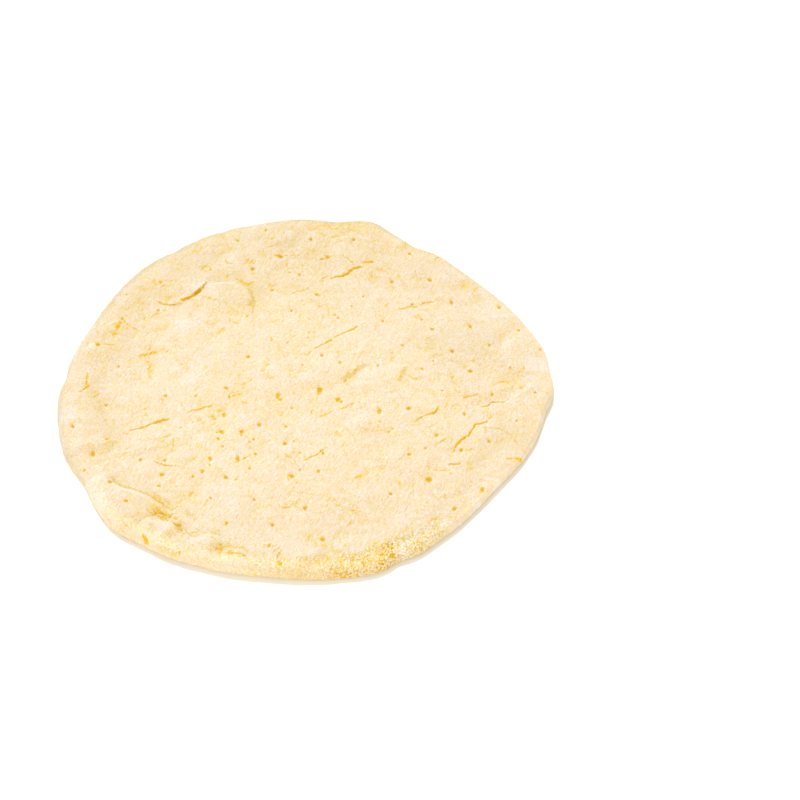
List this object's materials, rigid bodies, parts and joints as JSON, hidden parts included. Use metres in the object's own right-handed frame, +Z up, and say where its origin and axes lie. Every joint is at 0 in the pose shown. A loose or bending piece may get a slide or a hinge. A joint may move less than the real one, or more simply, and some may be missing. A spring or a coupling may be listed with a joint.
{
  "type": "pizza base",
  "caption": "Round par-baked pizza base: a thin flat disc of pale docked dough with a slightly puffed rim, small cracks and blisters.",
  "frame": {"origin": "middle of the footprint's box, on the surface the base lies on", "axes": "+Z up through the thickness; +X to the right and +Y away from the viewer as the base is seen in its picture"},
  "size_m": [0.2655, 0.2593, 0.0095],
  "materials": {
    "dough": "matte floury par-baked crust, pale cream, with yellower hollows and amber pin holes and cracks"
  },
  "bodies": {
    "root": {"pizza_base": "dough"}
  },
  "joints": []
}
